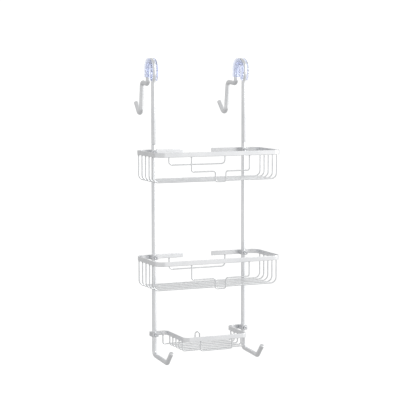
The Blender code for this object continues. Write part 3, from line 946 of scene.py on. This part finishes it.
def add_floor():
    """Level floor: a grid with its height all one value."""
    sizes = bpy.context.scene.caddy_stage
    steps = np.linspace(-sizes.floor_reach, sizes.floor_reach, FLOOR_CELLS + 1)
    x, y = np.meshgrid(steps, steps, indexing="ij")
    vertices = np.stack([x, y, np.full_like(x, -sizes.floor_drop)], -1).reshape(-1, 3)
    row, column = np.meshgrid(np.arange(FLOOR_CELLS), np.arange(FLOOR_CELLS), indexing="ij")
    here = row * (FLOOR_CELLS + 1) + column
    beyond = here + FLOOR_CELLS + 1
    quads = np.stack([here, beyond, beyond + 1, here + 1], -1).reshape(-1, 4)
    mesh = bpy.data.meshes.new("floor")
    mesh.from_pydata(vertices.tolist(), [], quads.tolist())
    floor = bpy.data.objects.new("floor", mesh)
    bpy.context.scene.collection.objects.link(floor)
    finish = Finish("pale_floor")
    tone = tuple(bpy.context.scene.caddy_finish.floor)
    place = finish.node("ShaderNodeTexCoord").outputs["Object"]
    cloud = finish.ranged(finish.noise(place, 1.5), 0.0, 1.0)
    finish.join(finish.mixed(cloud, tone, tuple(0.99 * c for c in tone)),
                finish.shader.inputs["Base Color"])
    finish.fixed("Roughness", 1.0)
    finish.fixed("Specular IOR Level", 0.0)
    finish.fixed("Emission Color", (1.0, 1.0, 1.0, 1.0))
    finish.fixed("Emission Strength", FLOOR_GLOW)
    mesh.materials.append(finish.material)
    floor.visible_glossy = False


def add_room_light():
    """Studio surroundings: bright to the right, and greyer behind, above and below.

    Each part is a smooth step on the cosine between a direction and the part's own middle,
    and the parts are laid over each other in turn. What the camera sees directly, or through
    the clear guards, is plain white.
    """
    world = bpy.data.worlds.new("studio")
    bpy.context.scene.world = world
    world.use_nodes = True
    tree = world.node_tree
    place = tree.nodes.new("ShaderNodeTexCoord").outputs["Generated"]
    level = None
    for middle, start, stop, brightness in ROOM_PARTS:
        facing = tree.nodes.new("ShaderNodeVectorMath")
        facing.operation = "DOT_PRODUCT"
        facing.inputs[1].default_value = Vector(middle).normalized()
        tree.links.new(place, facing.inputs[0])
        spread = tree.nodes.new("ShaderNodeMapRange")
        spread.interpolation_type = "SMOOTHSTEP"
        spread.inputs["From Min"].default_value = start
        spread.inputs["From Max"].default_value = stop
        tree.links.new(facing.outputs["Value"], spread.inputs["Value"])
        laid = tree.nodes.new("ShaderNodeMix")
        tree.links.new(spread.outputs["Result"], laid.inputs["Factor"])
        laid.inputs[2].default_value = ROOM_GREY
        if level is not None:
            tree.links.new(level, laid.inputs[2])
        laid.inputs[3].default_value = brightness
        level = laid.outputs[0]
    surroundings = tree.nodes["Background"]
    surroundings.inputs["Color"].default_value = (1.0, 1.0, 1.0, 1.0)
    tree.links.new(level, surroundings.inputs["Strength"])
    seen = tree.nodes.new("ShaderNodeBackground")
    seen.inputs["Color"].default_value = (1.0, 1.0, 1.0, 1.0)
    seen.inputs["Strength"].default_value = WHITE_SEEN
    path = tree.nodes.new("ShaderNodeLightPath")
    direct = tree.nodes.new("ShaderNodeMath")
    direct.operation = "MAXIMUM"
    tree.links.new(path.outputs["Is Camera Ray"], direct.inputs[0])
    tree.links.new(path.outputs["Is Transmission Ray"], direct.inputs[1])
    choose = tree.nodes.new("ShaderNodeMixShader")
    tree.links.new(direct.outputs["Value"], choose.inputs["Fac"])
    tree.links.new(surroundings.outputs["Background"], choose.inputs[1])
    tree.links.new(seen.outputs["Background"], choose.inputs[2])
    tree.links.new(choose.outputs["Shader"], tree.nodes["World Output"].inputs["Surface"])


def add_lamp(name, place, aim, size, power):
    lamp = bpy.data.lights.new(name, "AREA")
    lamp.shape = "RECTANGLE"
    lamp.size, lamp.size_y = size
    lamp.energy = power
    holder = bpy.data.objects.new(name, lamp)
    bpy.context.scene.collection.objects.link(holder)
    holder.location = place
    holder.rotation_euler = (Vector(aim) - Vector(place)).to_track_quat("-Z", "Y").to_euler()


def add_camera():
    """Camera on a sphere round its target, by yaw to the left of the front and pitch above."""
    sizes = bpy.context.scene.caddy_stage
    back = Vector((-sin(sizes.yaw) * cos(sizes.pitch), -cos(sizes.yaw) * cos(sizes.pitch),
                   sin(sizes.pitch)))
    camera = bpy.data.cameras.new("front_left_camera")
    camera.sensor_width = 36.0
    camera.lens = sizes.lens
    camera.clip_start, camera.clip_end = 0.1, 200.0
    holder = bpy.data.objects.new("front_left_camera", camera)
    bpy.context.scene.collection.objects.link(holder)
    holder.location = Vector(sizes.target) + back * sizes.distance
    holder.rotation_euler = (-back).to_track_quat("-Z", "Y").to_euler()
    bpy.context.scene.camera = holder


class CADDY_OT_stage(Operator):
    """Set the floor, the soft light and the camera"""

    bl_idname = "caddy.stage"
    bl_label = "Stage"
    bl_options = {"REGISTER", "UNDO"}

    def execute(self, context):
        add_floor()
        add_room_light()
        add_lamp("front_right_softbox", SOFTBOX_PLACE, SOFTBOX_AIM, SOFTBOX_SIZE, SOFTBOX_POWER)
        add_camera()
        context.scene.view_settings.view_transform = "Standard"
        return {"FINISHED"}


# ---- panel and registration -------------------------------
OPERATORS = (
    CADDY_OT_hook_rods,
    CADDY_OT_lower_rods,
    CADDY_OT_guards,
    CADDY_OT_rims,
    CADDY_OT_long_wires,
    CADDY_OT_front_and_rear_wires,
    CADDY_OT_clamps,
    CADDY_OT_stage,
)
GROUPS = {
    "caddy_rod": RodSizes,
    "caddy_hook": HookSizes,
    "caddy_guard": GuardSizes,
    "caddy_bar": BarSizes,
    "caddy_wire": WireSizes,
    "caddy_clamp": ClampSizes,
    "caddy_finish": FinishColours,
    "caddy_stage": StageSizes,
}


class CADDY_PT_sidebar(Panel):
    """Buttons and sizes of the shower caddy"""

    bl_idname = "CADDY_PT_sidebar"
    bl_label = "Shower Caddy"
    bl_space_type = "VIEW_3D"
    bl_region_type = "UI"
    bl_category = "Caddy"

    def draw(self, context):
        for operator in OPERATORS:
            self.layout.operator(operator.bl_idname)
        for key, group in GROUPS.items():
            box = self.layout.box()
            box.label(text=key.removeprefix("caddy_").capitalize())
            for name in group.__annotations__:
                box.prop(getattr(context.scene, key), name)


def register():
    for group in GROUPS.values():
        bpy.utils.register_class(group)
    for key, group in GROUPS.items():
        setattr(bpy.types.Scene, key, PointerProperty(type=group))
    for operator in OPERATORS:
        bpy.utils.register_class(operator)
    bpy.utils.register_class(CADDY_PT_sidebar)


def unregister():
    bpy.utils.unregister_class(CADDY_PT_sidebar)
    for operator in reversed(OPERATORS):
        bpy.utils.unregister_class(operator)
    for key in GROUPS:
        delattr(bpy.types.Scene, key)
    for group in reversed(GROUPS.values()):
        bpy.utils.unregister_class(group)


def main():
    register()
    for operator in OPERATORS:
        area, name = operator.bl_idname.split(".")
        if getattr(getattr(bpy.ops, area), name)() != {"FINISHED"}:
            raise RuntimeError(f"{operator.bl_label} did not finish")


if __name__ == "__main__":
    main()
